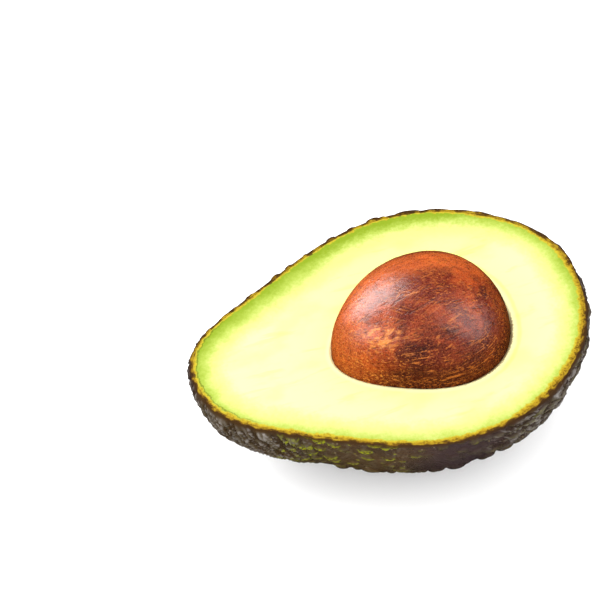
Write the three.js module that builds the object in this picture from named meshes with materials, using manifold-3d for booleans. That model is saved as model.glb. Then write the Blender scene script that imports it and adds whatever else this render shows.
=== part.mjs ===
// Avocado half with its stone, lying cut face up: pebbled skin, flesh and stone.
// Millimetres, +Z up. The fruit's length runs along X, with the blossom end at +X.

import * as THREE from 'three';
import { ConvexGeometry } from 'three/addons/geometries/ConvexGeometry.js';
import { mergeVertices } from 'three/addons/utils/BufferGeometryUtils.js';
import Module from 'manifold-3d';

// Fruit: the outline is a cosine series over the angle from the stem end (0) to the blossom end (pi)
const fleshLength = 95;
const halfWidthSeries = [33.0, -6.4, 0.6, 1.5, 1.2];
const bendSeries = [-3.4, 0.4, -0.5];
const bellySeries = [1.03, 0.24, 0.075]; // belly depth over half width, deeper toward the stem end
const faceHeight = 32.4; // cut face above the resting spot
const restPoint = new THREE.Vector2(2.5, -3); // middle of the resting spot, from the cut face's middle

// Skin
const clearance = 0.3; // between pieces that touch
const skinThickness = 0.8; // without its pebbles
const skinReach = clearance + skinThickness; // outside of the skin, from the flesh
const pebbleCount = 1900; // over the whole fruit's skin, before the cut
const pebbleHeights = [0.33, 0.77]; // lowest and highest
const pebbleScatter = 0.3; // of the spacing between pebbles

// Stone: an egg half out of the cut face, widest toward the blossom end and tallest toward the stem end
const stoneMiddle = new THREE.Vector3(6.7, -4.6, 0);
const stoneReach = new THREE.Vector3(21.8, 17.8, 17.7); // half its length, width and height
const stoneTaper = 0.286;
const stoneLean = 8.3; // of its tallest part, toward the stem end
const stoneTurn = 0.08; // of its length out of the fruit's, in radians

// Fineness of the round surfaces
const fruitDetail = 11;
const stoneDetail = 7;

const upward = new THREE.Vector3(0, 0, 1);

const wasm = await Module();
wasm.setup();

function cosineSeries(terms, angle) {
  return terms.reduce((sum, term, order) => sum + term * Math.cos(order * angle), 0);
}

// Place on the fruit's surface for a direction of the unit sphere, flattened at the resting spot
function fruitPoint(direction, grow, relief = 0) {
  const angle = Math.acos(THREE.MathUtils.clamp(-direction.x, -1, 1));
  const halfWidth = cosineSeries(halfWidthSeries, angle);
  const depth = halfWidth * cosineSeries(bellySeries, angle);
  const reach = new THREE.Vector3(fleshLength / 2, halfWidth, depth).addScalar(grow);
  const outward = direction.clone().divide(reach).normalize();
  const point = direction.clone().multiply(reach).addScaledVector(outward, relief);
  point.y += Math.sin(angle) * cosineSeries(bendSeries, angle);
  point.z = Math.max(point.z, skinReach - grow - faceHeight);
  return point;
}

function stonePoint(direction, grow) {
  const taper = 1 + stoneTaper * direction.x;
  const reach = stoneReach.clone().multiply(new THREE.Vector3(1, taper, taper)).addScalar(grow);
  const point = direction.clone().multiply(reach);
  point.x -= stoneLean * direction.z ** 2;
  return point.applyAxisAngle(upward, stoneTurn).add(stoneMiddle);
}

// Repeatable draw between 0 and 1
function draw(index, salt) {
  const wave = Math.sin(index * 12.9898 + salt * 78.233) * 43758.5453;
  return wave - Math.floor(wave);
}

function solidFrom(positions, triangles) {
  const mesh = new wasm.Mesh({
    numProp: 3,
    vertProperties: Float32Array.from(positions),
    triVerts: Uint32Array.from(triangles),
  });
  return new wasm.Manifold(mesh);
}

function mergedByPosition(geometry) {
  geometry.deleteAttribute('normal');
  geometry.deleteAttribute('uv');
  return mergeVertices(geometry);
}

function directionsOf(geometry) {
  const position = geometry.attributes.position;
  return Array.from({ length: position.count }, (_, i) => {
    return new THREE.Vector3().fromBufferAttribute(position, i).normalize();
  });
}

// A closed round surface: each direction of a fine ball is moved to its place
function roundSolid(detail, place) {
  const ball = mergedByPosition(new THREE.IcosahedronGeometry(1, detail));
  const positions = directionsOf(ball).flatMap((direction) => place(direction).toArray());
  return solidFrom(positions, ball.index.array);
}

// Pebbles are spread evenly on a spiral round the fruit's length, then scattered a little
function pebbleDirections() {
  const goldenAngle = Math.PI * (3 - Math.sqrt(5));
  const scatter = pebbleScatter * Math.sqrt((4 * Math.PI) / pebbleCount);
  return Array.from({ length: pebbleCount }, (_, i) => {
    const along = -1 + (2 * (i + 0.5)) / pebbleCount;
    const round = Math.sqrt(1 - along * along);
    const turn = i * goldenAngle;
    const shift = new THREE.Vector3(draw(i, 1), draw(i, 2), draw(i, 3)).multiplyScalar(2).subScalar(1);
    const direction = new THREE.Vector3(along, round * Math.cos(turn), round * Math.sin(turn));
    return direction.addScaledVector(shift, scatter).normalize();
  });
}

// Outside of the skin: every pebble is a low pyramid over its own cell, with valleys at the cell's corners
function pebbledSolid() {
  const net = mergedByPosition(new ConvexGeometry(pebbleDirections()));
  const peaks = directionsOf(net);
  const corners = net.index.array;
  const valleys = [];
  const cellOfEdge = new Map();
  for (let i = 0; i < corners.length; i += 3) {
    const [a, b, c] = corners.slice(i, i + 3);
    const valley = peaks.length + valleys.length;
    valleys.push(peaks[a].clone().add(peaks[b]).add(peaks[c]).normalize());
    cellOfEdge.set(`${a} ${b}`, valley).set(`${b} ${c}`, valley).set(`${c} ${a}`, valley);
  }
  const triangles = [];
  for (const [edge, leftValley] of cellOfEdge) {
    const [from, to] = edge.split(' ').map(Number);
    triangles.push(from, cellOfEdge.get(`${to} ${from}`), leftValley);
  }
  const peakPlaces = peaks.map((peak, i) => {
    return fruitPoint(peak, skinReach, THREE.MathUtils.lerp(...pebbleHeights, draw(i, 4)));
  });
  const valleyPlaces = valleys.map((valley) => fruitPoint(valley, skinReach));
  const positions = [...peakPlaces, ...valleyPlaces].flatMap((point) => point.toArray());
  return solidFrom(positions, triangles);
}

// Everything under the cut face
function belowCut() {
  const block = new THREE.BoxGeometry(2 * fleshLength, 2 * fleshLength, fleshLength);
  block.translate(0, 0, -fleshLength / 2);
  const merged = mergedByPosition(block);
  return solidFrom(merged.attributes.position.array, merged.index.array);
}

function pieceMesh(name, solid, colour, roughness) {
  const { vertProperties, triVerts } = solid.getMesh();
  const geometry = new THREE.BufferGeometry();
  geometry.setAttribute('position', new THREE.BufferAttribute(vertProperties, 3));
  geometry.setIndex(new THREE.BufferAttribute(triVerts, 1));
  geometry.computeVertexNormals();
  const material = new THREE.MeshStandardMaterial({ color: colour, roughness, metalness: 0 });
  const mesh = new THREE.Mesh(geometry, material);
  mesh.name = name;
  return mesh;
}

const half = belowCut();
const fleshOutside = roundSolid(fruitDetail, (direction) => fruitPoint(direction, 0));
const skinInside = roundSolid(fruitDetail, (direction) => fruitPoint(direction, clearance));
const stoneSeat = roundSolid(stoneDetail, (direction) => stonePoint(direction, clearance));

const skin = pebbledSolid().subtract(skinInside).intersect(half);
const flesh = fleshOutside.intersect(half).subtract(stoneSeat);
const stone = roundSolid(stoneDetail, (direction) => stonePoint(direction, 0));

const avocado = new THREE.Group();
avocado.add(
  pieceMesh('skin', skin, 0x40362c, 0.45),
  pieceMesh('flesh', flesh, 0xf0edaa, 0.5),
  pieceMesh('stone', stone, 0x8a4a30, 0.4),
);
avocado.position.set(-restPoint.x, -restPoint.y, faceHeight);

export default avocado;
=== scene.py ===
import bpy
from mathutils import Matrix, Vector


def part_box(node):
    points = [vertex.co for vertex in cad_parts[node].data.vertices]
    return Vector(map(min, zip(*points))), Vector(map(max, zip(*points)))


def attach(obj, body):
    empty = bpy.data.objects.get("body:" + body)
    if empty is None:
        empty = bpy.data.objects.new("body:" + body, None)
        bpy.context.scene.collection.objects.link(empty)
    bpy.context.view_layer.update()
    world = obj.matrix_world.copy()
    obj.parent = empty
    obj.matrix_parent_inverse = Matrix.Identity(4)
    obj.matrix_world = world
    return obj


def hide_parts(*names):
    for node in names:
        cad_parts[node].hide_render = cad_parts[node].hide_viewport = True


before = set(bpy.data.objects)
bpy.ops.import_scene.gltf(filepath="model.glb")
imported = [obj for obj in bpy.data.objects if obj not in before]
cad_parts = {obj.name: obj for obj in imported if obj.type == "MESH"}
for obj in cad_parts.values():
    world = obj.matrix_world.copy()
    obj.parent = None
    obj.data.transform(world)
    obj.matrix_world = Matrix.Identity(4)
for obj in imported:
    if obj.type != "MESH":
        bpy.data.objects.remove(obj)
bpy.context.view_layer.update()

# Avocado half with its stone, lying cut face up: pebbled skin, moist flesh and a mottled brown stone

import math

import bpy
import numpy as np
from mathutils import Matrix, Vector, kdtree, noise

mm = 0.001
print("frame loaded:", ", ".join(sorted(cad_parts)))


# Outline of the fruit, in mm: cosine series over the angle from the stem end to the blossom end
fruit = {
    "halfWidth": [33.0, -6.4, 0.6, 1.5, 1.2],
    "bend": [-3.4, 0.4, -0.5],
    "belly": [1.03, 0.24, 0.075],  # belly depth over half width
    "skinInside": 0.3,  # out from the flesh solid
    "skinOutside": 1.1,
    "outlineSteps": 1440,
    "biteGrain": (2.2, 3),  # size and detail of the uneven border between skin and flesh
    "biteDepth": 2.4,
}

fleshLow, fleshHigh = [np.array(corner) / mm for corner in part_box("flesh")]
fruitLength = fleshHigh[0] - fleshLow[0]
faceHeight = fleshHigh[2]


def cosineSeries(terms, angle):
    return sum(term * np.cos(order * angle) for order, term in enumerate(terms))


def smoothStep(value, start, end):
    part = np.clip((value - start) / (end - start), 0, 1)
    return part * part * (3 - 2 * part)


def lengthOf(vectors):
    return np.linalg.norm(vectors, axis=-1, keepdims=True)


# Same draw as in the solids, so that every pebble keeps its place
def draw(index, salt):
    wave = np.sin(index * 12.9898 + salt * 78.233) * 43758.5453
    return wave - np.floor(wave)


seedSteps = (17.3, 5.1, 9.7)  # how far each seed moves the noise


def noiseAt(places, size, seed):
    shift = Vector([seed * step for step in seedSteps])
    flat = np.asarray(places, float).reshape(-1, 3) / size
    values = np.array([noise.noise(Vector(place) + shift) for place in flat])
    return values.reshape(np.asarray(places).shape[:-1])


# Directions of a half ball, ring by ring: drop 0 is the cut, pi / 2 the bottom
def ringDirections(turns, drops):
    turn, drop = np.meshgrid(turns, drops)
    return np.stack([np.cos(turn) * np.cos(drop), np.sin(turn) * np.cos(drop), -np.sin(drop)], -1)


# Places and outward directions on the fruit, with the cut face's middle at the origin
def fruitForm(direction, grow):
    angle = np.arccos(np.clip(-direction[..., 0], -1, 1))
    halfWidth = cosineSeries(fruit["halfWidth"], angle)
    depth = halfWidth * cosineSeries(fruit["belly"], angle)
    reach = np.stack([np.full_like(angle, fruitLength / 2), halfWidth, depth], -1) + grow
    outward = direction / reach
    outward = outward / lengthOf(outward)
    place = direction * reach
    place[..., 1] += np.sin(angle) * cosineSeries(fruit["bend"], angle)
    return place, outward


# Depth of the flat resting spot under the cut, on a surface grown out this far
def restDepth(grow):
    return -(faceHeight - fruit["skinOutside"] + grow)


# The cut face's middle in the frame: the outline's own middle sits at the flesh box's middle
outlineTurns = np.linspace(0, 2 * math.pi, fruit["outlineSteps"] + 1)
outline, _ = fruitForm(ringDirections(outlineTurns, [0.0])[0], 0.0)
outlineMiddle = (outline.min(0) + outline.max(0)) / 2
faceMiddle = (fleshLow + fleshHigh) / 2 - outlineMiddle
faceMiddle[2] = faceHeight
outlineArc = np.concatenate([[0], np.cumsum(lengthOf(np.diff(outline, axis=0))[:, 0])])


# Turns that step evenly along the outline
def evenTurns(count):
    return np.interp(np.linspace(0, outlineArc[-1], count, endpoint=False), outlineArc, outlineTurns)


# A closed surface over rings of equal count, from one pole to the other, in the cut face's frame
def loftedPiece(name, rings, poles, fields, crispRings=()):
    count = len(rings[0])
    places = np.concatenate([rings.reshape(-1, 3), np.array(poles)]) + faceMiddle
    startPole = len(rings) * count
    faces = []
    column = np.arange(count)
    nextColumn = np.roll(column, -1)
    for ring in range(len(rings) - 1):
        low, high = ring * count, (ring + 1) * count
        corners = np.stack([low + column, low + nextColumn, high + nextColumn, high + column], 1)
        faces.extend(corners.tolist())
    lastRing = (len(rings) - 1) * count
    faces.extend([nextColumn[i], i, startPole] for i in range(count))
    faces.extend([lastRing + i, lastRing + nextColumn[i], startPole + 1] for i in range(count))
    mesh = bpy.data.meshes.new(name)
    mesh.from_pydata((places * mm).tolist(), [], faces)
    for fieldName, values in fields.items():
        layer = mesh.attributes.new(fieldName, "FLOAT", "POINT")
        padded = np.concatenate([values.reshape(-1), values[0, :1], values[-1, :1]])
        layer.data.foreach_set("value", padded.astype(np.float32))
    mesh.shade_smooth()
    ends = np.empty(2 * len(mesh.edges), np.int32)
    mesh.edges.foreach_get("vertices", ends)
    ringOfEnd = ends.reshape(-1, 2) // count
    crisp = (ringOfEnd[:, 0] == ringOfEnd[:, 1]) & np.isin(ringOfEnd[:, 0], crispRings)
    mesh.attributes.new("sharp_edge", "BOOLEAN", "EDGE").data.foreach_set("value", crisp)
    piece = bpy.data.objects.new(name, mesh)
    bpy.context.scene.collection.objects.link(piece)
    return piece


def nearestOf(points, queries, count):
    tree = kdtree.KDTree(len(points))
    for index, point in enumerate(points):
        tree.insert(point, index)
    tree.balance()
    return np.array([[found[1] for found in tree.find_n(query, count)] for query in queries])


# Finishes: small helpers for procedural materials, with lengths in mm

def put(tree, kind, plugs=None, **settings):
    node = tree.nodes.new(kind)
    for name, value in settings.items():
        setattr(node, name, value)
    for name, value in (plugs or {}).items():
        socket = node.inputs[name]
        if isinstance(value, bpy.types.NodeSocket):
            tree.links.new(value, socket)
        else:
            socket.default_value = value
    return node


def newFinish(name):
    finish = bpy.data.materials.new(name)
    finish.use_nodes = True
    tree = finish.node_tree
    return finish, tree, tree.nodes["Principled BSDF"]


def millimetres(tree, squash=(1, 1, 1)):
    place = put(tree, "ShaderNodeTexCoord").outputs["Object"]
    scale = [value / mm for value in squash]
    return put(tree, "ShaderNodeMapping", {"Vector": place, "Scale": scale}).outputs["Vector"]


# Values that a piece's mesh carries
def fieldsOf(tree, *names):
    return [put(tree, "ShaderNodeAttribute", attribute_name=name).outputs["Fac"] for name in names]


def grain(tree, place, size, detail=2.0, rough=0.5, twist=0.0):
    plugs = {"Vector": place, "Scale": 1 / size, "Detail": detail, "Roughness": rough, "Distortion": twist}
    return put(tree, "ShaderNodeTexNoise", plugs).outputs["Fac"]


def calc(tree, operation, first, second=0.0, clamp=False):
    plugs = {0: first, 1: second}
    return put(tree, "ShaderNodeMath", plugs, operation=operation, use_clamp=clamp).outputs[0]


def product(tree, *values):
    result = values[0]
    for value in values[1:]:
        result = calc(tree, "MULTIPLY", result, value)
    return result


def total(tree, *values):
    result = values[0]
    for value in values[1:]:
        result = calc(tree, "ADD", result, value)
    return result


def less(tree, first, second):
    return calc(tree, "SUBTRACT", first, second)


# Keeps a value between 0 and 1
def clamped(tree, value):
    return calc(tree, "ADD", value, 0.0, True)


def vectorCalc(tree, operation, first, second):
    return put(tree, "ShaderNodeVectorMath", {0: first, 1: second}, operation=operation).outputs["Vector"]


def ramp(tree, value, start, end, low=0.0, high=1.0):
    plugs = {"Value": value, "From Min": start, "From Max": end, "To Min": low, "To Max": high}
    return put(tree, "ShaderNodeMapRange", plugs, interpolation_type="SMOOTHSTEP").outputs["Result"]


def blended(tree, part, first, second):
    node = put(tree, "ShaderNodeMix", data_type="RGBA")
    for index, value in ((0, part), (6, first), (7, second)):
        if isinstance(value, bpy.types.NodeSocket):
            tree.links.new(value, node.inputs[index])
        elif index == 0:
            node.inputs[index].default_value = value
        else:
            node.inputs[index].default_value = (*value, 1)
    return node.outputs[2]


# Lays a tint over a colour, as strongly as all the parts multiplied
def tinted(tree, colour, tint, *parts):
    return blended(tree, product(tree, *parts), colour, tint)


def bumped(tree, height, distance):
    return put(tree, "ShaderNodeBump", {"Height": height, "Distance": distance * mm}).outputs["Normal"]


# Skin: lengths in mm, zones from the cut face's middle
skinLook = {
    "columns": 640,
    "outsideRings": 138,
    "ringCrowding": 1.15,  # rings stand closer together near the rim
    "insideRings": 4,
    "cutRings": 5,
    "zones": {  # where each zone fades in or out, along one axis
        "stem": (23, 34),
        "blossom": (15, 31),
        "folds": (8, 24),
        "foldsUp": (-18, -8),
        "frontStart": (-32, -18),
        "frontEnd": (6, 22),
        "frontOut": (8, 18),
        "frontUp": (-27, -15),
        "oliveStart": (-37, -29),
        "oliveEnd": (-12, 0),
        "oliveOut": (4, 14),
        "oliveUp": (-20, -9),
        "unripeEnd": (-12, 6),
        "unripeOut": (-4, 12),
    },
    "pebbleCount": 1900,  # over the whole fruit, as in the solid
    "pebbleScatter": 0.3,
    "pebblesAboveCut": 0.15,  # kept up to here, on the unit ball
    "pebbleWidth": (0.27, 0.42),  # half width over the spacing
    "smallPebbles": (0.18, 0.55),  # share of all, and width over the usual
    "largePebbles": (0.12, 1.25),
    "faintPebbles": (0.45, 0.3),  # on the smooth front only
    "frontWidening": 0.2,  # of the other pebbles there
    "stemNarrowing": 0.2,
    "foldNarrowing": 0.15,
    "pebbleHeight": 0.72,  # over the half width
    "pebbleRoundness": 0.6,
    "pebblesLower": {"front": 0.6, "stem": 0.4, "folds": 0.3, "rim": 0.45},
    "streakDraw": 2.2,  # how far pebbles are drawn out at the stem end
    "streakSlant": 0.55,
    "foldDraw": 1.8,  # and along the rim at the blossom end
    "ridgeHeight": 0.65,  # fine ridges at the ends
    "ridgeNarrowing": 2.2,
    "ridgeSharpness": 1.5,
    "ridgeLength": 6.0,
    "ridgeFan": (0.35, 8.0),  # slant, and how far from the tip it sets in
    "foldSpacing": 1.1,
    "foldWander": 5.0,
    "lumpHeight": 0.45,
    "lumpSize": 5.0,
    "lumpSquash": (0.7, 1, 1),
    "wrinkleHeight": 0.06,
    "wrinkleSize": 0.9,
    "wrinkleSquash": (0.5, 1, 1),
    "stemSwell": 0.25,
    "blossomSwell": 0.3,
    "flatDepth": 0.35,  # smooth skin under the solid's valleys
    "cutRoughness": (1.3, 0.12),  # size and height on the cut edge
    "oliveBeyond": 0.12,  # share of the olive spots past their zone's end
    "oliveShare": 0.9,  # of the pebbles in the zone
    "edgeFade": (0.3, 1.3),  # depth under the cut where the dull rind ends
    "colours": {
        "body": (0.046, 0.028, 0.015),
        "warm": (0.062, 0.034, 0.014),
        "grey": (0.096, 0.078, 0.052),
        "ripe": (0.033, 0.021, 0.028),  # purple black of the back and the blossom end
        # gap: dark colour of the painted shade round the pebbles' feet and in the grooves
        "gap": (0.026, 0.014, 0.004),
        "pebble": (0.055, 0.040, 0.015),
        "ripePebble": (0.040, 0.029, 0.027),
        "tip": (0.105, 0.078, 0.022),
        "olive": (0.225, 0.240, 0.008),
        # pale grey of the painted highlight on crests and pebble tops at both ends
        "crestHighlight": (0.215, 0.195, 0.178),
        "speck": (0.24, 0.19, 0.10),
        "rind": (0.038, 0.018, 0.006),
        "brown": (0.120, 0.062, 0.008),
        "gold": (0.290, 0.190, 0.014),
    },
    "shows": {  # how strongly each mark is tinted
        "grey": 0.6,
        "ripe": 0.75,
        "footShade": 0.75,
        "ripePebble": 0.7,
        "tip": 0.8,
        "grooveShade": 0.7,
        "crestHighlight": 0.8,
        "speck": 0.5,
        "rind": 0.8,
    },
    "grains": {  # size, detail and roughness
        "warm": (8, 3),
        "grey": (1.6, 5, 0.65),
        "oliveEdge": (0.8, 3),
        "oliveGroups": (4,),
        "cut": (0.45, 3),
        "bump": (0.5, 4),
    },
    "specks": (2.4, 0.3),  # spacing and radius
    "cutBands": (("rind", 0.0), ("brown", 0.3), ("gold", 0.6)),  # dark outside, gold inside
    "cutBandFade": 0.3,
    "bumpDepth": 0.08,
    "roughness": 0.6,
    "wax": 1.0,
    "waxRoughness": 0.18,
    "waxIor": 1.6,
}
tiny = 1e-9  # keeps directions from vanishing


def pebbleDirections():
    count = skinLook["pebbleCount"]
    index = np.arange(count)
    along = -1 + 2 * (index + 0.5) / count
    around = np.sqrt(1 - along * along)
    turn = index * math.pi * (3 - math.sqrt(5))
    shift = 2 * np.stack([draw(index, 1), draw(index, 2), draw(index, 3)], -1) - 1
    direction = np.stack([along, around * np.cos(turn), around * np.sin(turn)], -1)
    direction = direction + shift * skinLook["pebbleScatter"] * math.sqrt(4 * math.pi / count)
    return direction / lengthOf(direction)


# How much of each place belongs to the stem end, the blossom end, its folds under the rim, and the front
def skinZones(places):
    x, y, z = np.moveaxis(places, -1, 0)
    zones = skinLook["zones"]
    stem = smoothStep(-x, *zones["stem"])
    blossom = smoothStep(x, *zones["blossom"])
    folds = smoothStep(x, *zones["folds"]) * smoothStep(z, *zones["foldsUp"])
    between = smoothStep(x, *zones["frontStart"]) * (1 - smoothStep(x, *zones["frontEnd"]))
    front = smoothStep(-y, *zones["frontOut"]) * between * smoothStep(z, *zones["frontUp"])
    return stem, blossom, folds, front


# Half widths of the pebbles over their spacing: a few small, a few large, many faint on the front
def pebbleWidths(index, stem, folds, front):
    narrow, wide = skinLook["pebbleWidth"]
    width = narrow + (wide - narrow) * draw(index, 5)
    smallShare, small = skinLook["smallPebbles"]
    largeShare, large = skinLook["largePebbles"]
    kind = draw(index, 9)
    width = np.where(kind < smallShare, small * width, np.where(kind > 1 - largeShare, large * width, width))
    faintShare, faint = skinLook["faintPebbles"]
    isFaint = draw(index, 10) < faintShare * front
    width = width * np.where(isFaint, faint, 1 + skinLook["frontWidening"] * front)
    return width * (1 - skinLook["stemNarrowing"] * stem - skinLook["foldNarrowing"] * folds)


# Directions that the pebbles are drawn out in, and how far: down from the stem's tip, or along the rim
def pebbleStretch(outward, stem, folds):
    along = np.array([1.0, 0, 0]) - outward * outward[:, :1]
    down = np.array([0, 0, -1.0]) + outward * outward[:, 2:]
    around = np.cross(outward, down)
    around = around * np.sign(around[:, 1:2] * outward[:, :1] + tiny)
    streak = skinLook["streakSlant"] * along + down
    direction = streak * stem[:, None] + around * folds[:, None] + tiny * down
    drawn = 1 + skinLook["streakDraw"] * stem + skinLook["foldDraw"] * folds
    return direction / lengthOf(direction), drawn


# Pebbles: their rise at each place, how far in from the edge, how low on the pebble, and its own draw
def pebbleRelief(places):
    neighbourCount, nearCount, joinPower = 6, 12, 6
    directions = pebbleDirections()
    directions = directions[directions[:, 2] < skinLook["pebblesAboveCut"]]
    middles, outward = fruitForm(directions, fruit["skinOutside"])
    index = np.arange(len(middles))
    neighbours = nearestOf(middles, middles, 1 + neighbourCount)[:, 1:]
    spacing = lengthOf(middles[neighbours] - middles[:, None])[..., 0].mean(1)
    stem, _, folds, front = skinZones(middles)
    halfWidth = spacing * pebbleWidths(index, stem, folds, front)
    stretch, drawn = pebbleStretch(outward, stem, folds)
    near = nearestOf(middles, places, nearCount)
    offset = places[:, None] - middles[near]
    lengthwise = (offset * stretch[near]).sum(-1)
    distance = (offset ** 2).sum(-1) - lengthwise ** 2 * (1 - 1 / drawn[near] ** 2)
    inward = 1 - distance / halfWidth[near] ** 2
    rise = np.clip(inward, 0, 1) ** skinLook["pebbleRoundness"]
    rise = skinLook["pebbleHeight"] * halfWidth[near] * rise
    relief = (rise ** joinPower).sum(1) ** (1 / joinPower)
    pick = np.arange(len(places))
    best = inward.argmax(1)
    nearest = near[pick, best]
    lowness = -offset[pick, best, 2] / halfWidth[nearest]
    return relief, np.clip(inward[pick, best], -1, 1), lowness, draw(index, 8)[nearest]


# Fine ridges: at the stem end leaning away from its tip, at the blossom end along the rim
def fineRidges(rimArc, z, stem):
    slant, fan = skinLook["ridgeFan"]
    flat = np.zeros(z.shape)
    across = rimArc + slant * z * np.tanh(rimArc / fan)
    streaks = noiseAt(np.stack([across, z / skinLook["ridgeLength"], flat], -1), 1.0, seed=11)
    wander = noiseAt(np.stack([rimArc, z, flat], -1), skinLook["foldWander"], seed=12)
    rows = z / skinLook["foldSpacing"] + wander
    ropes = noiseAt(np.stack([rimArc / skinLook["ridgeLength"], rows, flat], -1), 1.0, seed=13)
    values = np.where(stem > 0, streaks, ropes)
    # narrow crests where the noise crosses zero
    crests = 1 - np.minimum(1, skinLook["ridgeNarrowing"] * np.abs(values))
    return crests ** skinLook["ridgeSharpness"]


# What the finish reads at each place: pebbles, olive spots, pale tips, a painted highlight on the crests,
# painted shade in the grooves, and ripeness
def skinMarks(places, z, pebbleGrids, pebbled, ridges, drawnOut):
    x, y, _ = np.moveaxis(places, -1, 0)
    _, inward, lowness, ownDraw = pebbleGrids
    zones = skinLook["zones"]
    crescent = smoothStep(lowness, -0.55, 0.15) * smoothStep(inward, -0.35, 0.12)  # a pebble's lower side
    oliveZone = 1 - (1 - skinLook["oliveBeyond"]) * smoothStep(x, *zones["oliveEnd"])
    oliveZone = oliveZone * smoothStep(x, *zones["oliveStart"])
    oliveZone = oliveZone * smoothStep(-y, *zones["oliveOut"]) * smoothStep(z, *zones["oliveUp"])
    olive = crescent * oliveZone * (ownDraw < skinLook["oliveShare"]) * (0.4 + ownDraw)
    ripe = 1 - smoothStep(-y, *zones["unripeOut"]) * (1 - smoothStep(x, *zones["unripeEnd"]))
    tips = smoothStep(inward, 0.2, 0.9) * (ownDraw > 0.5) * pebbled
    tips = tips * (1 - 0.7 * drawnOut) * (1 - 0.4 * ripe)
    # painted shade in the grooves between drawn-out pebbles and fine ridges
    grooveShade = drawnOut * np.maximum(smoothStep(-inward, -0.15, 0.3), 0.6 * (1 - ridges))
    # painted highlight on pebble tops and fine ridge crests at both ends
    crestHighlight = drawnOut * np.maximum(0.3 * smoothStep(inward, 0.6, 0.95), smoothStep(ridges, 0.7, 0.98))
    belowEdge = smoothStep(-z, *skinLook["edgeFade"])
    return {
        "inward": inward,
        "pebbled": pebbled,
        "olive": olive,
        "tips": tips,
        "crestHighlight": crestHighlight * belowEdge,
        "grooveShade": grooveShade,
        "ripe": ripe,
        "edge": 1 - belowEdge,
    }


# Outside of the skin with all its relief, and its marks
def skinOutside(turns):
    parts = np.linspace(0, 1, skinLook["outsideRings"] + 1)[:-1]
    drops = parts ** skinLook["ringCrowding"] * math.pi / 2
    smooth, outward = fruitForm(ringDirections(turns, drops), fruit["skinOutside"])
    z = smooth[..., 2]
    stem, blossom, folds, front = skinZones(smooth)
    drawnOut = np.maximum(stem, folds)
    pebbleGrids = [grid.reshape(z.shape) for grid in pebbleRelief(smooth.reshape(-1, 3))]
    lower = skinLook["pebblesLower"]
    pebbled = (1 - lower["front"] * front) * (1 - lower["stem"] * stem) * (1 - lower["folds"] * folds)
    pebbled = pebbled * (1 - lower["rim"] + lower["rim"] * smoothStep(-z, 0.3, 2.5))
    rimArc = outlineArc[-1] * (np.arange(len(turns)) / len(turns) - 0.5)
    ridges = fineRidges(np.broadcast_to(rimArc, z.shape), z, stem)
    lumps = noiseAt(smooth * skinLook["lumpSquash"], skinLook["lumpSize"], seed=1)
    wrinkles = noiseAt(smooth * skinLook["wrinkleSquash"], skinLook["wrinkleSize"], seed=2)
    relief = pebbleGrids[0] * pebbled + lumps * skinLook["lumpHeight"] * (0.4 + 0.6 * blossom)
    relief = relief + wrinkles * skinLook["wrinkleHeight"]
    relief = relief + skinLook["ridgeHeight"] * ridges * drawnOut * smoothStep(-z, 0.2, 1.6)
    swell = skinLook["stemSwell"] * stem + skinLook["blossomSwell"] * blossom
    relief = relief + swell * smoothStep(-z, 0, 2) - skinLook["flatDepth"]
    outside = smooth + outward * relief[..., None]
    outside[..., 2] = np.maximum(outside[..., 2], -faceHeight)
    return outside, skinMarks(outside, z, pebbleGrids, pebbled, ridges, drawnOut)


def buildSkin():
    turns = evenTurns(skinLook["columns"])
    outside, marks = skinOutside(turns)
    insideDrops = np.linspace(math.pi / 2, 0, skinLook["insideRings"] + 1)[1:]
    inside, _ = fruitForm(ringDirections(turns, insideDrops), fruit["skinInside"])
    inside[..., 2] = np.maximum(inside[..., 2], restDepth(fruit["skinInside"]))
    cutParts = np.linspace(0, 1, skinLook["cutRings"] + 2)[1:-1]
    cut = inside[-1] * (1 - cutParts[:, None, None]) + outside[0] * cutParts[:, None, None]
    grainSize, grainHeight = skinLook["cutRoughness"]
    cut[..., 2] += noiseAt(cut, grainSize, seed=3) * grainHeight
    # marks only show on the outside
    hidden = np.zeros((len(inside) + len(cut), len(turns)))
    fields = {name: np.concatenate([hidden, grid]) for name, grid in marks.items()}
    fields["inward"][:len(hidden)] = -1
    fields["edge"][:len(hidden)] = 1
    depthIn = np.concatenate([np.ones(len(inside)), 1 - cutParts, np.zeros(len(outside))])
    fields["depthIn"] = np.repeat(depthIn[:, None], len(turns), axis=1)
    poles = [[0, 0, restDepth(fruit["skinInside"])], [0, 0, -faceHeight]]
    corners = [len(inside) - 1, len(hidden)]
    return loftedPiece("skinShell", np.concatenate([inside, cut, outside]), poles, fields, corners)


# Small round specks scattered through the surface
def specks(tree, place, spacing, radius):
    cells = put(tree, "ShaderNodeTexVoronoi", {"Vector": place, "Scale": 1 / spacing})
    return ramp(tree, cells.outputs["Distance"], 0.6 * radius / spacing, radius / spacing, 1, 0)


# Cut edge of the skin in ragged bands
def cutEdge(tree, place, colour):
    depthIn = fieldsOf(tree, "depthIn")[0]
    bite = less(tree, 0.45, grain(tree, place, *fruit["biteGrain"]))
    ragged = total(
        tree,
        product(tree, bite, fruit["biteDepth"]),
        product(tree, grain(tree, place, *skinLook["grains"]["cut"]), 0.6),
        product(tree, depthIn, 0.6),
    )
    onCut = ramp(tree, depthIn, 0.02, 0.1)
    for name, start in skinLook["cutBands"]:
        band = ramp(tree, ragged, start, start + skinLook["cutBandFade"])
        colour = tinted(tree, colour, skinLook["colours"][name], band, onCut)
    return colour


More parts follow.
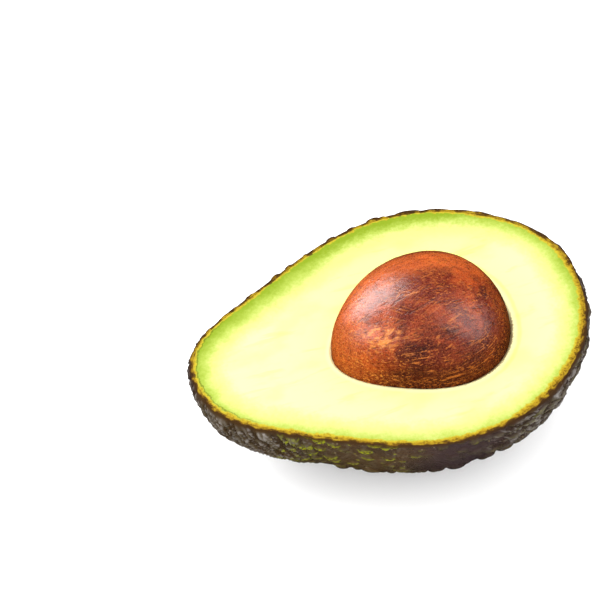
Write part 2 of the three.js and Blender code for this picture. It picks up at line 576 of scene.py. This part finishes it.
def skinFinish():
    finish, tree, shader = newFinish("pebbledSkin")
    colours, shows, grains = skinLook["colours"], skinLook["shows"], skinLook["grains"]
    place = millimetres(tree)
    inward, pebbled, tips, ripe = fieldsOf(tree, "inward", "pebbled", "tips", "ripe")
    olive, crestHighlight, grooveShade, edge = fieldsOf(tree, "olive", "crestHighlight", "grooveShade", "edge")
    patches = ramp(tree, grain(tree, place, *grains["warm"]), 0.35, 0.65)
    colour = blended(tree, patches, colours["body"], colours["warm"])
    greyer = ramp(tree, grain(tree, place, *grains["grey"]), 0.45, 0.7)
    colour = tinted(tree, colour, colours["grey"], greyer, shows["grey"])
    colour = tinted(tree, colour, colours["ripe"], ripe, shows["ripe"])
    # pebbles, with painted shade darkening the ring round each foot
    footShade = product(tree, ramp(tree, inward, -0.45, -0.05), ramp(tree, inward, 0.05, 0.45, 1, 0), pebbled)
    colour = tinted(tree, colour, colours["gap"], footShade, shows["footShade"])
    pebble = tinted(tree, colours["pebble"], colours["ripePebble"], ripe, shows["ripePebble"])
    colour = tinted(tree, colour, pebble, ramp(tree, inward, 0.1, 0.5), pebbled)
    colour = tinted(tree, colour, colours["tip"], tips, shows["tip"])
    # painted shade in the grooves
    colour = tinted(tree, colour, colours["gap"], grooveShade, shows["grooveShade"])
    # painted highlight on the crests
    colour = tinted(tree, colour, colours["crestHighlight"], crestHighlight, shows["crestHighlight"])
    # olive spots in loose groups, with mottled edges
    mottled = ramp(tree, grain(tree, place, *grains["oliveEdge"]), 0.36, 0.6)
    grouped = ramp(tree, grain(tree, place, *grains["oliveGroups"]), 0.3, 0.42)
    colour = tinted(tree, colour, colours["olive"], olive, mottled, grouped)
    speckled = specks(tree, place, *skinLook["specks"])
    colour = tinted(tree, colour, colours["speck"], speckled, shows["speck"])
    colour = tinted(tree, colour, colours["rind"], edge, shows["rind"])
    colour = cutEdge(tree, place, colour)
    tree.links.new(colour, shader.inputs["Base Color"])
    # waxy outside, dull cut
    shader.inputs["Roughness"].default_value = skinLook["roughness"]
    shader.inputs["Specular IOR Level"].default_value = 0.0
    tree.links.new(ramp(tree, edge, 0.0, 1.0, skinLook["wax"], 0.0), shader.inputs["Coat Weight"])
    shader.inputs["Coat Roughness"].default_value = skinLook["waxRoughness"]
    shader.inputs["Coat IOR"].default_value = skinLook["waxIor"]
    fine = bumped(tree, grain(tree, place, *grains["bump"]), skinLook["bumpDepth"])
    tree.links.new(fine, shader.inputs["Normal"])
    tree.links.new(fine, shader.inputs["Coat Normal"])
    return finish


# Stone: lengths in mm
stoneLook = {
    "middle": (6.7, -4.6, 0.0),  # from the cut face's middle
    "reach": (21.8, 17.8, 17.7),
    "taper": 0.286,
    "lean": 8.3,  # of its tallest part, toward the stem end
    "turn": 0.08,
    "columns": 360,
    "rings": 200,
    "waveHeight": 0.45,  # gentle flats and swells
    "waveSize": 0.75,  # over the reach
    "wrinkleHeight": 0.06,
    "wrinkleSize": 1.6,
    "wrinkleSquash": (0.6, 1, 1),
    "fineWrinkleSize": 0.7,
    "colours": {
        "red": (0.142, 0.0115, 0.002),
        "orange": (0.470, 0.065, 0.003),
        # brown: painted shade along the far edge and low down
        "brown": (0.057, 0.008, 0.002),
        "purple": (0.035, 0.004, 0.003),
        # painted light on the lit far side and stem end
        "litAmber": (0.62, 0.125, 0.020),
        "flame": (0.68, 0.22, 0.033),
        "fibre": (0.49, 0.13, 0.016),
        "crack": (0.022, 0.005, 0.003),
    },
    "shows": {  # how strongly each mark is tinted
        "purple": 0.7,
        "smudges": 0.5,
        "farEdgeShade": 0.7,
        "darkPatch": 0.75,
        "lowShade": 0.95,
        "paleDust": 0.38,
        "darkDust": 0.65,
        "flame": 0.8,
        "cracks": 0.5,
    },
    "grains": {  # size, detail, roughness and twist
        "dust": (0.35, 3, 0.7, 0.4),
        "warm": (7, 3, 0.55),
        "purple": (4.5, 6, 0.7, 0.3),
        "smudges": (1.5, 5, 0.7),
        "flame": (0.9, 3, 0.6),
        "lowEdge": (4, 3),
        "patchEdge": (3, 3),
        "fibreBreaks": (7, 2),
    },
    "lengthwise": (0.35, 1.0, 1.0),  # squash that draws marks out along the fruit
    "flameSquash": (0.2, 1.0, 1.0),
    "flamePatch": ((-6.8, -10.7, 45.8), (7.0, 4.0, 5.0)),  # middle in the frame, and reach
    "darkPatch": ((-1.0, -14.9, 42.6), (9.0, 5.0, 4.5)),
    "fibres": [  # turn in radians, thickness and strength
        (0.15, 0.36, 0.75),
        (-0.35, 0.42, 0.7),
        (0.7, 0.45, 0.35),
    ],
    "fibreSquash": (0.03, 1, 1),
    "fibreBends": (0.06, 3.5),  # bends in a mm, and how far aside
    "fibreShift": 40.0,  # moves each set of lines on, times its thickness
    "cracks": (-0.15, 0.6, 71),  # turn, thickness and shift
    "bumpDepth": 0.06,
    "roughness": (0.24, 0.33),
    "gloss": 0.5,
}


# The stone's surface, with gentle flats
def stoneForm(direction, grow):
    taper = 1 + stoneLook["taper"] * direction[..., :1]
    widening = np.concatenate([np.ones_like(taper), taper, taper], -1)
    reach = np.array(stoneLook["reach"]) * widening + grow
    outward = direction / reach
    outward = outward / lengthOf(outward)
    waves = noiseAt(direction, stoneLook["waveSize"], seed=4)
    waves = waves * stoneLook["waveHeight"] * (1 - direction[..., 0] ** 2)
    place = direction * reach + outward * waves[..., None]
    place[..., 0] -= stoneLook["lean"] * direction[..., 2] ** 2
    turned = np.array(Matrix.Rotation(stoneLook["turn"], 3, "Z")).T
    return np.array(stoneLook["middle"]) + place @ turned, outward @ turned


def buildStone():
    turns = np.linspace(0, 2 * math.pi, stoneLook["columns"], endpoint=False)
    drops = np.linspace(math.pi / 2, -math.pi / 2, stoneLook["rings"] + 2)[1:-1]
    place, outward = stoneForm(ringDirections(turns, drops), 0.0)
    wrinkles = noiseAt(place * stoneLook["wrinkleSquash"], stoneLook["wrinkleSize"], seed=5)
    wrinkles = wrinkles + 0.5 * noiseAt(place, stoneLook["fineWrinkleSize"], seed=6)
    place = place + outward * (wrinkles * stoneLook["wrinkleHeight"])[..., None]
    poles, _ = stoneForm(np.array([[0, 0, -1.0], [0, 0, 1.0]]), 0.0)
    aside = (place - stoneLook["middle"]) / stoneLook["reach"]
    fields = {"aboveCut": place[..., 2], "farSide": aside[..., 1], "stemSide": -aside[..., 0]}
    return loftedPiece("stoneEgg", place, poles, fields)


# Long thin lines in one direction, turned out of the fruit's length, that bend a little
def fibres(tree, place, turn, size, shiftAlong):
    bends, aside = stoneLook["fibreBends"]
    wander = put(tree, "ShaderNodeTexNoise", {"Vector": place, "Scale": bends, "Detail": 0.0})
    shift = vectorCalc(tree, "MULTIPLY", wander.outputs["Color"], (aside, aside, aside))
    moved = vectorCalc(tree, "ADD", place, shift)
    plugs = {"Vector": moved, "Rotation": (0, 0, turn), "Location": (shiftAlong, 0, 0)}
    turned = put(tree, "ShaderNodeMapping", plugs).outputs["Vector"]
    plugs = {"Vector": turned, "Scale": stoneLook["fibreSquash"]}
    drawnOut = put(tree, "ShaderNodeMapping", plugs).outputs["Vector"]
    broken = ramp(tree, grain(tree, turned, *stoneLook["grains"]["fibreBreaks"]), 0.38, 0.56)
    return product(tree, ramp(tree, grain(tree, drawnOut, size, 1), 0.58, 0.72), broken)


# A soft patch round a place in the frame, with an uneven border
def patchAt(tree, place, middle, reach):
    away = vectorCalc(tree, "DIVIDE", vectorCalc(tree, "SUBTRACT", place, middle), reach)
    away = put(tree, "ShaderNodeVectorMath", {0: away}, operation="LENGTH").outputs["Value"]
    uneven = less(tree, grain(tree, place, *stoneLook["grains"]["patchEdge"]), 0.5)
    return ramp(tree, total(tree, away, product(tree, uneven, 1.6)), 0.3, 1.0, 1, 0)


def stoneFinish():
    finish, tree, shader = newFinish("mottledStone")
    colours, shows, grains = stoneLook["colours"], stoneLook["shows"], stoneLook["grains"]
    place = millimetres(tree)
    lengthwise = millimetres(tree, stoneLook["lengthwise"])
    dust = grain(tree, place, *grains["dust"])
    aboveCut, farSide, stemSide = fieldsOf(tree, "aboveCut", "farSide", "stemSide")
    # red body with painted light: more orange on the far side and at the stem end, where the light falls,
    # also warmer at the blossom end and in random patches; purple patches and red smudges
    warm = total(
        tree,
        ramp(tree, farSide, -0.1, 0.45, 0, 0.8),
        ramp(tree, stemSide, 0.05, 0.65, 0, 0.75),
        ramp(tree, grain(tree, place, *grains["warm"]), 0.4, 0.65, -0.3, 0.4),
        ramp(tree, stemSide, -0.7, -0.3, 0.35, 0.0),
    )
    warm = clamped(tree, warm)
    colour = blended(tree, warm, colours["red"], colours["orange"])
    purple = ramp(tree, grain(tree, lengthwise, *grains["purple"]), 0.45, 0.66, 0, shows["purple"])
    lessPurple = product(tree, ramp(tree, warm, 0.5, 1.0, 1.0, 0.5), ramp(tree, farSide, 0.0, 0.4, 1.0, 0.5))
    colour = tinted(tree, colour, colours["purple"], purple, lessPurple)
    # painted light: amber where the light falls, on the far side and at the stem end
    paintedLitSide = total(tree, ramp(tree, farSide, 0.0, 0.4, 0, 0.5), ramp(tree, stemSide, 0.5, 0.9, 0, 0.45))
    colour = tinted(tree, colour, colours["litAmber"], paintedLitSide)
    smudges = ramp(tree, grain(tree, lengthwise, *grains["smudges"]), 0.46, 0.62, 0, shows["smudges"])
    colour = tinted(tree, colour, colours["red"], smudges, warm)
    # painted shade along the far edge and low down, and one dark patch
    farEdgeShade = ramp(tree, total(tree, farSide, product(tree, dust, 0.2)), 0.6, 0.95)
    colour = tinted(tree, colour, colours["brown"], farEdgeShade, shows["farEdgeShade"])
    darkPatch = patchAt(tree, place, *stoneLook["darkPatch"])
    colour = tinted(tree, colour, colours["purple"], darkPatch, shows["darkPatch"])
    # painted shade: darker brown low down on the stone, less at the stem end
    lowEdge = total(tree, aboveCut, product(tree, grain(tree, place, *grains["lowEdge"]), 8.0))
    lowShade = ramp(tree, lowEdge, 5, 18, shows["lowShade"], 0)
    colour = tinted(tree, colour, colours["brown"], lowShade, ramp(tree, stemSide, 0.35, 0.9, 1.0, 0.25))
    # fine dust, long fibres, one flame and thin cracks
    colour = tinted(tree, colour, colours["fibre"], ramp(tree, dust, 0.55, 0.68, 0, shows["paleDust"]))
    colour = tinted(tree, colour, colours["crack"], ramp(tree, dust, 0.49, 0.36, 0, shows["darkDust"]))
    paleFibre = blended(tree, ramp(tree, stemSide, 0.1, 0.5), colours["fibre"], colours["flame"])
    for turn, size, strength in stoneLook["fibres"]:
        lines = fibres(tree, place, turn, size, stoneLook["fibreShift"] * size)
        colour = tinted(tree, colour, paleFibre, lines, strength)
    wisps = grain(tree, millimetres(tree, stoneLook["flameSquash"]), *grains["flame"])
    wisps = ramp(tree, wisps, 0.42, 0.62)
    flamePatch = patchAt(tree, place, *stoneLook["flamePatch"])
    colour = tinted(tree, colour, colours["flame"], wisps, flamePatch, shows["flame"])
    cracks = fibres(tree, place, *stoneLook["cracks"])
    colour = tinted(tree, colour, colours["crack"], cracks, shows["cracks"])
    tree.links.new(colour, shader.inputs["Base Color"])
    tree.links.new(ramp(tree, dust, 0.3, 0.7, *stoneLook["roughness"]), shader.inputs["Roughness"])
    shader.inputs["Specular IOR Level"].default_value = stoneLook["gloss"]
    height = less(tree, dust, product(tree, cracks, 0.6))
    tree.links.new(bumped(tree, height, stoneLook["bumpDepth"]), shader.inputs["Normal"])
    return finish


# Flesh: lengths in mm
fleshLook = {
    "columns": 480,
    "faceRings": 64,
    "bellyRings": 30,
    "seatRings": 30,
    "seatSteps": 2000,
    "seatGap": 0.12,  # between stone and flesh
    "rimGrow": 0.29,  # closes most of the clearance to the skin
    "lip": 0.7,  # round edge at the stone
    "edgeRound": (0.5, 0.1),  # width and drop at the rim
    "knifeHeight": 0.1,  # faint waves that the knife left
    "knifeFade": 1.5,  # near rim and stone
    "knifeSquash": (0.12, 0.5, 1),
    "knifeSizes": (1.6, 6.0),
    "sideReach": 35.0,  # the finish counts places across and along the fruit in these
    "lengthReach": 48.0,
    "outOfSight": 40.0,  # distance given to what never shows
    "colours": {
        "cream": (0.82, 0.79, 0.30),
        "yellow": (0.76, 0.74, 0.09),
        "greenCream": (0.53, 0.535, 0.175),
        "paleGreen": (0.365, 0.455, 0.078),
        "lime": (0.185, 0.265, 0.014),
        "yolk": (0.42, 0.33, 0.022),
        "gold": (0.32, 0.20, 0.012),
        "rust": (0.060, 0.024, 0.003),
        "gap": (0.085, 0.075, 0.004),
        "bite": (0.058, 0.027, 0.006),
        "lip": (0.82, 0.75, 0.44),
        "fringe": (0.16, 0.07, 0.025),
    },
    "shows": {  # how strongly each mark is tinted
        "gap": 0.7,
        "rust": 0.95,
        "bite": 0.9,
        "lip": 0.8,
        "besideLine": 0.35,
        "fringe": 0.8,
    },
    "grains": {  # size, detail, roughness and twist
        "clouds": (7, 4),
        "streaks": (2.6, 4, 0.6, 0.5),
        "mottle": (0.9, 5, 0.7),
        "broadMottle": (3.5, 3),
        "tanEdge": (1.1, 5, 0.75),
        "broadTanEdge": (2.6,),
        "rust": (0.7, 4, 0.75),
        "rustGroups": (2.5,),
        "besideLine": (4, 2),
        "fringe": (0.35, 2),
        "moist": (2.0, 3),
    },
    "cloudSquash": (0.6, 1.0, 1.0),
    "streakSquash": (0.22, 1.0, 1.0),
    "ringWidth": (5.0, 3.6),  # of the green, and on the far side by the blossom end
    "ringBands": (  # where each green fades out, over the ring's width
        ("greenCream", 1.0, 1.9),
        ("paleGreen", 0.35, 1.25),
        ("lime", -0.2, 0.9),
    ),
    "tanWidth": (1.15, 0.7),  # of the line under the skin, on the near and the far side
    "bumpDepth": 0.06,
    "roughness": (0.38, 0.5),
    "gloss": 0.01,
}


# Distance of every place to the nearest point of a closed line, in the plane of the cut
def distanceToLine(places, line):
    flat = places.reshape(-1, 3)[:, :2]
    best = np.full(len(flat), np.inf)
    for point in line[:, :2]:
        best = np.minimum(best, ((flat - point) ** 2).sum(1))
    return np.sqrt(best).reshape(places.shape[:-1])


# The stone's seat, from its bottom up; its columns face the rim's columns, as seen from the stone's middle
def seatRings(rim):
    middle, gap = stoneLook["middle"], fleshLook["seatGap"]
    seatTurns = np.linspace(-math.pi, math.pi, fleshLook["seatSteps"] + 1)
    seatLine, _ = stoneForm(ringDirections(seatTurns, [0.0])[0], gap)
    bearing = np.unwrap(np.arctan2(*(seatLine - middle)[:, 1::-1].T))
    wanted = np.arctan2(*(rim - middle)[:, 1::-1].T)
    columnTurns = np.interp(wanted, bearing, seatTurns, period=2 * math.pi)
    seatDrops = np.linspace(math.pi / 2, 0, fleshLook["seatRings"] + 1)[1:]
    return stoneForm(ringDirections(columnTurns, seatDrops), gap)[0]


def buildFlesh():
    grow, lip = fleshLook["rimGrow"], fleshLook["lip"]
    turns = evenTurns(fleshLook["columns"])
    rim, _ = fruitForm(ringDirections(turns, [0.0])[0], grow)
    seat = seatRings(rim)
    parts = np.linspace(0, 1, fleshLook["faceRings"] + 1)[1:]
    parts = (0.5 - 0.5 * np.cos(math.pi * parts))[:, None, None]
    face = seat[-1] * (1 - parts) + rim * parts
    seatAway = distanceToLine(face, seat[-1])
    rimAway = distanceToLine(face, rim)
    fineSize, broadSize = fleshLook["knifeSizes"]
    knife = noiseAt(face * fleshLook["knifeSquash"], fineSize, seed=7) * 0.5
    knife = knife + noiseAt(face, broadSize, seed=8) * 0.5
    fade = fleshLook["knifeFade"]
    within = smoothStep(rimAway, 0, fade) * smoothStep(seatAway, 0, fade)
    face[..., 2] += knife * fleshLook["knifeHeight"] * within
    face[..., 2] -= 0.5 * lip * (1 - smoothStep(seatAway, 0, lip)) ** 2
    edgeWidth, edgeDrop = fleshLook["edgeRound"]
    face[..., 2] -= edgeDrop * (1 - smoothStep(rimAway, 0, edgeWidth)) ** 2
    seat[..., 2] = np.minimum(seat[..., 2], -0.5 * lip)
    bellyDrops = np.linspace(0, math.pi / 2, fleshLook["bellyRings"] + 2)[1:-1]
    belly, _ = fruitForm(ringDirections(turns, bellyDrops), grow)
    belly[..., 2] = np.maximum(belly[..., 2], restDepth(grow))
    rings = np.concatenate([seat, face, belly])
    inSeat = np.zeros(seat.shape[:2])
    underSkin = np.zeros(belly.shape[:2])
    fields = {
        "rimAway": np.concatenate([inSeat + fleshLook["outOfSight"], rimAway, underSkin]),
        "seatAway": np.concatenate([inSeat, seatAway, underSkin + fleshLook["outOfSight"]]),
        "farSide": rings[..., 1] / fleshLook["sideReach"],
        "alongFruit": rings[..., 0] / fleshLook["lengthReach"],
    }
    seatBottom, _ = stoneForm(np.array([[0, 0, -1.0]]), fleshLook["seatGap"])
    poles = [seatBottom[0], [0, 0, restDepth(grow)]]
    return loftedPiece("fleshCut", rings, poles, fields, [len(seat) + len(face) - 1])


# Green ring inside the tan line: deepest on the far side, with a mottled inner edge
def greenRing(tree, place, colour, tanWidth):
    rimAway, farSide, alongFruit = fieldsOf(tree, "rimAway", "farSide", "alongFruit")
    mottle = less(tree, grain(tree, place, *fleshLook["grains"]["mottle"]), 0.5)
    broadMottle = less(tree, grain(tree, place, *fleshLook["grains"]["broadMottle"]), 0.5)
    ringAway = less(tree, rimAway, tanWidth)
    ringAway = total(tree, ringAway, product(tree, mottle, 4.0), product(tree, broadMottle, 3.0))
    farBlossom = product(tree, ramp(tree, farSide, 0.4, 0.8), ramp(tree, alongFruit, -0.4, -0.1))
    ringWidth = ramp(tree, farBlossom, 0.0, 1.0, *fleshLook["ringWidth"])
    paler = product(tree, ramp(tree, alongFruit, 0.35, 0.65), ramp(tree, farSide, 0.0, 0.4))
    ringPart = total(
        tree,
        calc(tree, "DIVIDE", ringAway, ringWidth),
        ramp(tree, farSide, -0.6, 0.5, 0.55, -0.12),
        product(tree, farBlossom, -0.22),
        product(tree, paler, 0.45),
    )
    for name, start, end in fleshLook["ringBands"]:
        colour = tinted(tree, colour, fleshLook["colours"][name], ramp(tree, ringPart, start, end, 1, 0))
    return colour


# Fibrous line under the skin, yolk yellow then gold, with rust grains and a dark gap here and there
def tanLine(tree, place, colour, tanWidth):
    colours, shows, grains = fleshLook["colours"], fleshLook["shows"], fleshLook["grains"]
    rimAway, alongFruit = fieldsOf(tree, "rimAway", "alongFruit")
    tanAway = total(
        tree,
        rimAway,
        product(tree, grain(tree, place, *grains["tanEdge"]), 1.8),
        product(tree, grain(tree, place, *grains["broadTanEdge"]), 1.4),
    )
    tanAway = less(tree, less(tree, tanAway, 1.6), tanWidth)
    gapAway = calc(tree, "ABSOLUTE", less(tree, tanAway, 0.15))
    gapLine = ramp(tree, gapAway, 0.0, 0.25, shows["gap"], 0)
    colour = tinted(tree, colour, colours["gap"], gapLine, ramp(tree, alongFruit, -0.85, -0.7, 1, 0))
    tan = blended(tree, ramp(tree, tanAway, -0.9, -0.2), colours["gold"], colours["yolk"])
    rust = ramp(tree, grain(tree, place, *grains["rust"]), 0.46, 0.56, 0, shows["rust"])
    rustGroups = ramp(tree, grain(tree, place, *grains["rustGroups"]), 0.4, 0.6, 0.55, 1)
    tan = tinted(tree, tan, colours["rust"], rust, ramp(tree, tanAway, -1.3, -0.2, 1.0, 0.3), rustGroups)
    colour = blended(tree, ramp(tree, tanAway, -0.25, 0.1, 1, 0), colour, tan)
    bite = product(tree, grain(tree, place, *fruit["biteGrain"]), fruit["biteDepth"])
    bites = ramp(tree, less(tree, rimAway, bite), -1.25, -0.95, shows["bite"], 0)
    return tinted(tree, colour, colours["bite"], bites)


# Pale lip at the stone, a yellow line beside it at the blossom end, and the stone's brown fringe
def stoneLip(tree, place, colour):
    colours, shows, grains = fleshLook["colours"], fleshLook["shows"], fleshLook["grains"]
    seatAway, farSide, alongFruit = fieldsOf(tree, "seatAway", "farSide", "alongFruit")
    colour = tinted(tree, colour, colours["lip"], ramp(tree, seatAway, 0.4, 1.8, shows["lip"], 0))
    besideAway = less(tree, total(tree, seatAway, grain(tree, place, *grains["besideLine"])), 2.6)
    besideLine = ramp(tree, calc(tree, "ABSOLUTE", besideAway), 0.1, 0.7, shows["besideLine"], 0)
    colour = tinted(tree, colour, colours["yellow"], besideLine, ramp(tree, alongFruit, 0.3, 0.5))
    fringeAway = less(tree, seatAway, product(tree, grain(tree, place, *grains["fringe"]), 1.4))
    fringe = ramp(tree, fringeAway, -0.4, 0.1, shows["fringe"], 0)
    fringeSide = product(tree, ramp(tree, alongFruit, 0.15, 0.35), ramp(tree, farSide, -0.3, -0.1, 1, 0))
    return tinted(tree, colour, colours["fringe"], fringe, fringeSide)


def fleshFinish():
    finish, tree, shader = newFinish("moistFlesh")
    colours, grains = fleshLook["colours"], fleshLook["grains"]
    place = millimetres(tree)
    rimAway, farSide, alongFruit = fieldsOf(tree, "rimAway", "farSide", "alongFruit")
    # cream, yellower in clouds and streaks, on the far side and near the rim
    clouds = grain(tree, millimetres(tree, fleshLook["cloudSquash"]), *grains["clouds"])
    streaks = grain(tree, millimetres(tree, fleshLook["streakSquash"]), *grains["streaks"])
    nearRim = ramp(tree, rimAway, 5.0, 12.0, 1.0, 0.35)
    farRim = product(tree, ramp(tree, farSide, 0.2, 0.8, 0.0, 0.7), nearRim)
    yellower = total(
        tree,
        ramp(tree, clouds, 0.45, 0.7, 0, 0.25),
        ramp(tree, streaks, 0.54, 0.72, 0, 0.3),
        farRim,
        ramp(tree, rimAway, 1.5, 7.0, 0.1, 0.0),
    )
    colour = blended(tree, clamped(tree, yellower), colours["cream"], colours["yellow"])
    tanWidth = ramp(tree, farSide, -0.9, 0.9, *fleshLook["tanWidth"])
    tanWidth = total(tree, tanWidth, ramp(tree, alongFruit, 0.4, 0.8, 0, 0.35))
    colour = greenRing(tree, place, colour, tanWidth)
    colour = tanLine(tree, place, colour, tanWidth)
    colour = stoneLip(tree, place, colour)
    tree.links.new(colour, shader.inputs["Base Color"])
    moist = ramp(tree, grain(tree, place, *grains["moist"]), 0.3, 0.7, *fleshLook["roughness"])
    tree.links.new(moist, shader.inputs["Roughness"])
    shader.inputs["Specular IOR Level"].default_value = fleshLook["gloss"]
    tree.links.new(bumped(tree, streaks, fleshLook["bumpDepth"]), shader.inputs["Normal"])
    return finish


def dress(piece, node, finish):
    piece.data.materials.append(finish)
    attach(piece, "root")
    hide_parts(node)
    print("made", piece.name, "with", len(piece.data.polygons), "faces")


dress(buildSkin(), "skin", skinFinish())
flesh = buildFlesh()
flesh.visible_glossy = False  # no pale veil on the stone's foot
dress(flesh, "flesh", fleshFinish())
dress(buildStone(), "stone", stoneFinish())


# Studio: lengths in m, power in W
studio = {
    "floorSize": 6.0,
    "floorColour": (0.96, 0.96, 0.96),
    "floorRoughness": 0.6,
    "worldStrength": 1.9,  # even white light from all round
    "aim": (0, 0, 0.03),
    "softboxes": {  # place, size and power; seen only as gloss
        "leftSoftbox": ((-0.38, 0.59, 0.71), 0.8, 23.0),
        "rightSoftbox": ((0.78, -0.30, 0.55), 0.8, 6.5),
        "backSoftbox": ((-0.55, 0.80, 0.25), 0.5, 2.5),
        "frontSoftbox": ((-0.79, -0.32, 0.54), 0.7, 8.0),
    },
    "keySoftbox": ((-0.45, 0.35, 0.85), 0.8, 4.0),  # never seen as gloss, casts no shadow
}


def addSoftbox(name, place, size, power):
    lamp = bpy.data.lights.new(name, "AREA")
    lamp.shape = "SQUARE"
    lamp.size = size
    lamp.energy = power
    softbox = bpy.data.objects.new(name, lamp)
    softbox.location = place
    softbox.rotation_euler = (Vector(studio["aim"]) - Vector(place)).to_track_quat("-Z", "Y").to_euler()
    bpy.context.scene.collection.objects.link(softbox)
    return softbox


def addFloor():
    half = studio["floorSize"] / 2
    corners = [(-half, -half, 0), (half, -half, 0), (half, half, 0), (-half, half, 0)]
    mesh = bpy.data.meshes.new("floor")
    mesh.from_pydata(corners, [], [(0, 1, 2, 3)])
    floor = bpy.data.objects.new("floor", mesh)
    bpy.context.scene.collection.objects.link(floor)
    finish, _, shader = newFinish("whiteTable")
    shader.inputs["Base Color"].default_value = (*studio["floorColour"], 1)
    shader.inputs["Roughness"].default_value = studio["floorRoughness"]
    mesh.materials.append(finish)
    floor.visible_glossy = False


def addLight():
    world = bpy.data.worlds.new("studioWhite")
    world.use_nodes = True
    sky = world.node_tree.nodes["Background"]
    sky.inputs["Color"].default_value = (1, 1, 1, 1)
    sky.inputs["Strength"].default_value = studio["worldStrength"]
    bpy.context.scene.world = world
    world.cycles_visibility.glossy = False
    key = addSoftbox("keySoftbox", *studio["keySoftbox"])
    key.visible_glossy = False
    key.data.use_shadow = False
    for name, settings in studio["softboxes"].items():
        addSoftbox(name, *settings).visible_diffuse = False
    bpy.context.scene.view_settings.view_transform = "Standard"


# Camera: looking down on the cut face from the front, a little from the stem side, with a slight roll
cameraLook = {
    "azimuth": -10.63,  # degrees
    "elevation": 51.28,
    "roll": -7.3,
    "distance": 600.0,  # mm, from the cut face's middle
    "aside": (20.59, -5.88),  # mm, where the cut face's middle is from the picture's middle
    "lens": 150.2,
    "sensor": 36.0,
}


def addCamera():
    azimuth, elevation, roll = [math.radians(cameraLook[name]) for name in ("azimuth", "elevation", "roll")]
    flat = math.cos(elevation)
    back = Vector((math.sin(azimuth) * flat, -math.cos(azimuth) * flat, math.sin(elevation)))
    level = Vector((math.cos(azimuth), math.sin(azimuth), 0))
    upright = back.cross(level)
    right = level * math.cos(roll) + upright * math.sin(roll)
    up = back.cross(right)
    aside, above = cameraLook["aside"]
    place = Vector(faceMiddle) - right * aside - up * above + back * cameraLook["distance"]
    lens = bpy.data.cameras.new("studioCamera")
    lens.lens = cameraLook["lens"]
    lens.sensor_width = cameraLook["sensor"]
    camera = bpy.data.objects.new("studioCamera", lens)
    camera.matrix_world = Matrix.Translation(place * mm) @ Matrix((right, up, back)).transposed().to_4x4()
    bpy.context.scene.collection.objects.link(camera)
    bpy.context.scene.camera = camera


addFloor()
addLight()
print("studio set")
addCamera()
print("camera set")

bpy.context.view_layer.update()
